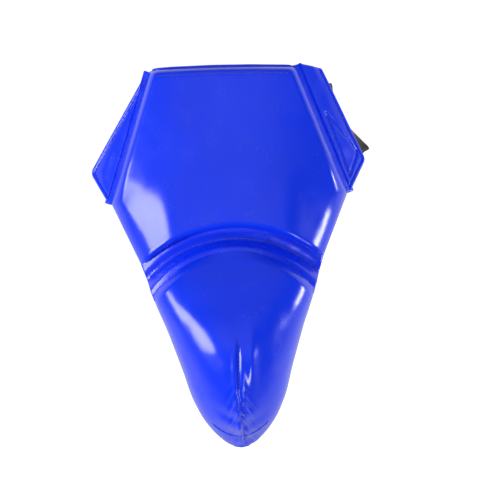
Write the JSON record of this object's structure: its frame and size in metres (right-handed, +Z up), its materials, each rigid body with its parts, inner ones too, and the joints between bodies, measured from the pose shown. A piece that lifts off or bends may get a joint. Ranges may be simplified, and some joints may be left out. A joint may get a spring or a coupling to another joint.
{
  "type": "groin protector",
  "caption": "Padded belly panel with a keel-shaped groin cup below an arched channel, hinged hip wings, an elastic waist belt and leg straps.",
  "frame": {"origin": "middle of the waist loop, level with the middle of the belt at the wearer's sides", "axes": "+Z up, -Y the front of the guard, +X the wearer's left side, where the belt closes"},
  "size_m": [0.2702, 0.2397, 0.3555],
  "materials": {
    "vinyl_blue": "glossy smooth coated vinyl",
    "vinyl_blue_channel": "glossy smooth coated vinyl, recessed",
    "thread_blue": "twisted polyester thread",
    "foam_soft": "closed-cell foam",
    "foam_dense": "dense closed-cell foam",
    "board": "thin flexible plastic sheet",
    "shell": "moulded polypropylene",
    "lining_black": "woven nylon lining",
    "rim_black": "soft rubber beading",
    "elastic_black": "woven elastic with two red stripes",
    "strap_black": "woven elastic",
    "webbing_black": "woven nylon webbing",
    "hook_black": "hook side of a touch fastener",
    "loop_black": "loop side of a touch fastener",
    "thread_black": "twisted polyester thread"
  },
  "bodies": {
    "pad": {"belly_cover": "vinyl_blue", "belly_foam_outer": "foam_soft", "belly_foam_inner": "foam_dense", "base_board": "board", "belly_lining": "lining_black", "top_binding": "vinyl_blue", "top_stitching": "thread_blue", "arch_channel": "vinyl_blue_channel", "arch_stitching": "thread_blue", "leg_strap_left": "strap_black", "leg_strap_right": "strap_black", "leg_strap_left_patch": "webbing_black", "leg_strap_right_patch": "webbing_black"},
    "cup": {"cup_cover": "vinyl_blue", "cup_foam": "foam_soft", "hard_cup": "shell", "cup_lining": "lining_black", "cup_rim": "rim_black", "cup_back_panel": "lining_black", "crotch_binding": "vinyl_blue", "crotch_tab": "webbing_black", "cup_seam_stitching": "thread_blue"},
    "wing_left": {"wing_left_cover": "vinyl_blue", "wing_left_foam": "foam_soft", "wing_left_lining": "lining_black", "wing_left_stitching": "thread_blue", "belt_root": "elastic_black", "root_stitching": "thread_black"},
    "wing_right": {"wing_right_cover": "vinyl_blue", "wing_right_foam": "foam_soft", "wing_right_lining": "lining_black", "wing_right_stitching": "thread_blue", "loop_patch": "loop_black", "loop_patch_stitching": "thread_blue"},
    "belt": {"waist_elastic": "elastic_black", "hook_patch": "hook_black", "belt_end_tab": "webbing_black"}
  },
  "joints": [
    {"name": "wing_left", "type": "hinge", "parent": "pad", "child": "wing_left", "pos_m": [-0.09, -0.064, -0.0115], "axis": [0.3387, -0.2155, 0.9159], "range_deg": [0, 40]},
    {"name": "wing_right", "type": "hinge", "parent": "pad", "child": "wing_right", "pos_m": [0.09, -0.064, -0.0115], "axis": [0.3387, 0.2155, -0.9159], "range_deg": [0, 40]},
    {"name": "belt_swing", "type": "hinge", "parent": "wing_left", "child": "belt", "pos_m": [-0.10582, -0.04257, -0.00235], "axis": [0.509, -0.3898, 0.7674], "range_deg": [0, 90]},
    {"name": "cup_flex", "type": "hinge", "parent": "pad", "child": "cup", "pos_m": [0, -0.088, -0.133], "axis": [-1, 0, 0], "range_deg": [-8, 20], "deforming": ["arch_channel", "arch_stitching", "leg_strap_left", "leg_strap_right"]}
  ]
}
